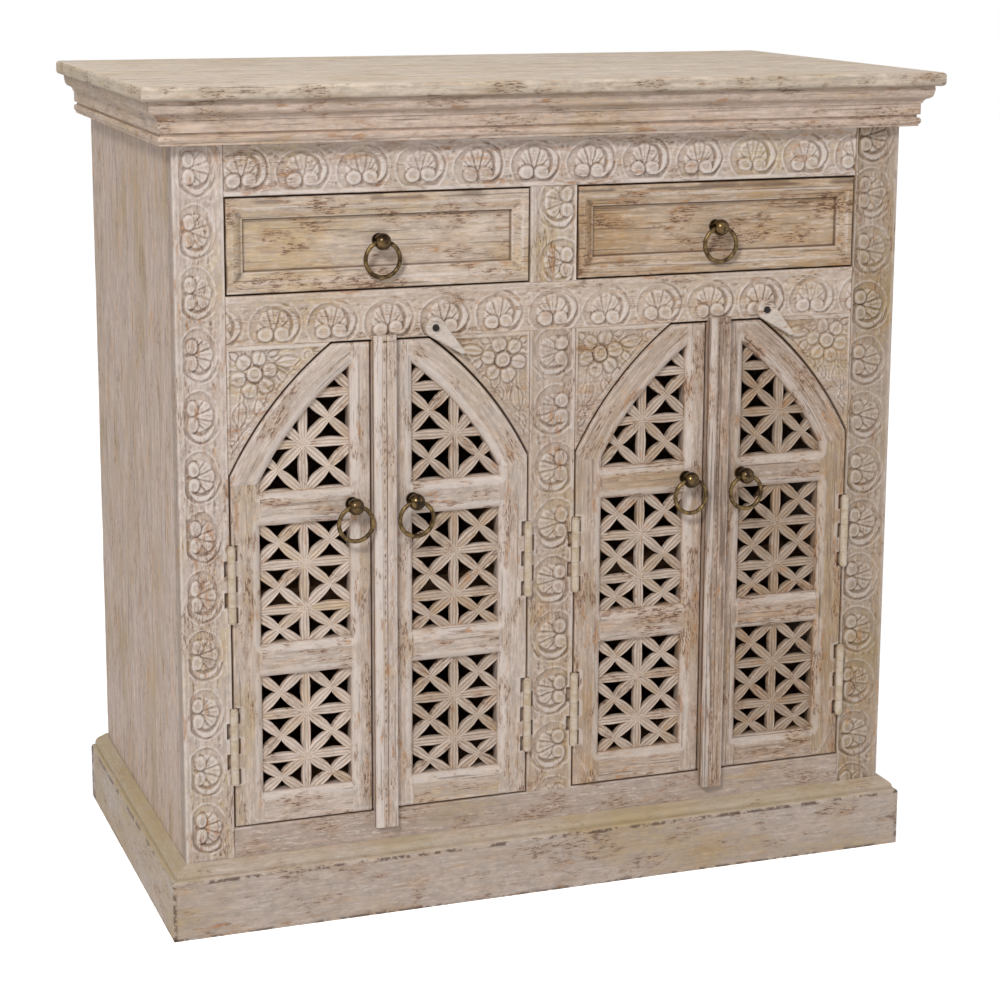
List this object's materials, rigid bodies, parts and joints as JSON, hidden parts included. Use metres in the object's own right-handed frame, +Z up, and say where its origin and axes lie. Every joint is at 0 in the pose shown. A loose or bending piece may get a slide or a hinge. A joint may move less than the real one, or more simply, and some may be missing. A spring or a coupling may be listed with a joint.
{
  "type": "carved wooden cabinet",
  "caption": "Whitewashed carved wooden cabinet with drawers over two pairs of arched lattice doors, reeded meeting strips, ring pulls, turn latches, cornice and plinth.",
  "frame": {"origin": "on the floor, under the centre of the box round the whole cabinet", "axes": "+X to the right along the front, +Y from the front to the back, +Z up"},
  "size_m": [0.894, 0.483, 0.898],
  "materials": {
    "whitewashed_wood": "whitewash worn through to brown and orange wood, matt",
    "side_wood": "thin whitewash over long grain",
    "top_wood": "whitewashed top boards, long grain",
    "inside_wood": "plain unfinished wood",
    "antique_brass": "cast brass with dark patina, rubbed bright on the ball",
    "painted_steel": "steel hinge washed over with the same cream paint",
    "screw_steel": "dull steel"
  },
  "bodies": {
    "cabinet": {"top_slab": "top_wood", "cornice": "whitewashed_wood", "plinth": "whitewashed_wood", "side_panel_left": "side_wood", "side_panel_right": "side_wood", "back_panel": "inside_wood", "bottom_board": "inside_wood", "centre_partition": "inside_wood", "drawer_deck": "inside_wood", "shelf_left": "inside_wood", "shelf_right": "inside_wood", "stile_left": "whitewashed_wood", "stile_right": "whitewashed_wood", "top_rail": "whitewashed_wood", "mid_rail": "whitewashed_wood", "bottom_rail": "whitewashed_wood", "centre_stile_upper": "whitewashed_wood", "centre_stile_lower": "whitewashed_wood", "spandrel_outer_left": "whitewashed_wood", "spandrel_inner_left": "whitewashed_wood", "spandrel_inner_right": "whitewashed_wood", "spandrel_outer_right": "whitewashed_wood", "drawer_guides": "inside_wood", "hinge_leaves_frame": "painted_steel", "hinge_pins": "painted_steel", "latch_screws": "screw_steel"},
    "drawer_left": {"drawer_front_left": "whitewashed_wood", "drawer_box_left": "inside_wood", "drawer_bottom_left": "inside_wood", "knob_drawer_left": "antique_brass"},
    "drawer_right": {"drawer_front_right": "whitewashed_wood", "drawer_box_right": "inside_wood", "drawer_bottom_right": "inside_wood", "knob_drawer_right": "antique_brass"},
    "door_outer_left": {"door_frame_outer_left": "whitewashed_wood", "door_lattice_outer_left": "whitewashed_wood", "hinge_leaves_outer_left": "painted_steel", "knob_door_outer_left": "antique_brass"},
    "door_inner_left": {"door_frame_inner_left": "whitewashed_wood", "door_lattice_inner_left": "whitewashed_wood", "hinge_leaves_inner_left": "painted_steel", "knob_door_inner_left": "antique_brass", "meeting_strip_inner_left": "whitewashed_wood"},
    "door_inner_right": {"door_frame_inner_right": "whitewashed_wood", "door_lattice_inner_right": "whitewashed_wood", "hinge_leaves_inner_right": "painted_steel", "knob_door_inner_right": "antique_brass"},
    "door_outer_right": {"door_frame_outer_right": "whitewashed_wood", "door_lattice_outer_right": "whitewashed_wood", "hinge_leaves_outer_right": "painted_steel", "knob_door_outer_right": "antique_brass", "meeting_strip_outer_right": "whitewashed_wood"},
    "turn_latch_left": {"turn_latch_left": "whitewashed_wood"},
    "turn_latch_right": {"turn_latch_right": "whitewashed_wood"},
    "ring_drawer_left": {"ring_drawer_left": "antique_brass"},
    "ring_drawer_right": {"ring_drawer_right": "antique_brass"},
    "ring_door_outer_left": {"ring_door_outer_left": "antique_brass"},
    "ring_door_inner_left": {"ring_door_inner_left": "antique_brass"},
    "ring_door_inner_right": {"ring_door_inner_right": "antique_brass"},
    "ring_door_outer_right": {"ring_door_outer_right": "antique_brass"}
  },
  "joints": [
    {"name": "drawer_left_slide", "type": "slide", "parent": "cabinet", "child": "drawer_left", "axis": [0, -1, 0], "range_m": [0, 0.28]},
    {"name": "drawer_right_slide", "type": "slide", "parent": "cabinet", "child": "drawer_right", "axis": [0, -1, 0], "range_m": [0, 0.28]},
    {"name": "door_outer_left_hinge", "type": "hinge", "parent": "cabinet", "child": "door_outer_left", "pos_m": [-0.357, -0.2075, 0.29], "axis": [0, 0, -1], "range_deg": [0, 120]},
    {"name": "door_inner_left_hinge", "type": "hinge", "parent": "cabinet", "child": "door_inner_left", "pos_m": [-0.0275, -0.2075, 0.29], "axis": [0, 0, 1], "range_deg": [0, 90]},
    {"name": "door_inner_right_hinge", "type": "hinge", "parent": "cabinet", "child": "door_inner_right", "pos_m": [0.0275, -0.2075, 0.29], "axis": [0, 0, -1], "range_deg": [0, 90]},
    {"name": "door_outer_right_hinge", "type": "hinge", "parent": "cabinet", "child": "door_outer_right", "pos_m": [0.357, -0.2075, 0.29], "axis": [0, 0, 1], "range_deg": [0, 120]},
    {"name": "turn_latch_left_pivot", "type": "hinge", "parent": "cabinet", "child": "turn_latch_left", "pos_m": [-0.13525, -0.2105, 0.64], "axis": [0, -1, 0], "range_deg": [-100, 90]},
    {"name": "turn_latch_right_pivot", "type": "hinge", "parent": "cabinet", "child": "turn_latch_right", "pos_m": [0.24925, -0.2105, 0.64], "axis": [0, -1, 0], "range_deg": [-100, 90]},
    {"name": "ring_drawer_left_swing", "type": "hinge", "parent": "drawer_left", "child": "ring_drawer_left", "pos_m": [-0.19225, -0.2115, 0.733], "axis": [1, 0, 0], "range_deg": [-184, 4]},
    {"name": "ring_drawer_right_swing", "type": "hinge", "parent": "drawer_right", "child": "ring_drawer_right", "pos_m": [0.19225, -0.2115, 0.733], "axis": [1, 0, 0], "range_deg": [-184, 4]},
    {"name": "ring_door_outer_left_swing", "type": "hinge", "parent": "door_outer_left", "child": "ring_door_outer_left", "pos_m": [-0.22575, -0.2205, 0.45575], "axis": [1, 0, 0], "range_deg": [-184, 4]},
    {"name": "ring_door_inner_left_swing", "type": "hinge", "parent": "door_inner_left", "child": "ring_door_inner_left", "pos_m": [-0.15875, -0.2205, 0.45575], "axis": [1, 0, 0], "range_deg": [-184, 4]},
    {"name": "ring_door_inner_right_swing", "type": "hinge", "parent": "door_inner_right", "child": "ring_door_inner_right", "pos_m": [0.15875, -0.2205, 0.45575], "axis": [1, 0, 0], "range_deg": [-184, 4]},
    {"name": "ring_door_outer_right_swing", "type": "hinge", "parent": "door_outer_right", "child": "ring_door_outer_right", "pos_m": [0.22575, -0.2205, 0.45575], "axis": [1, 0, 0], "range_deg": [-184, 4]}
  ]
}
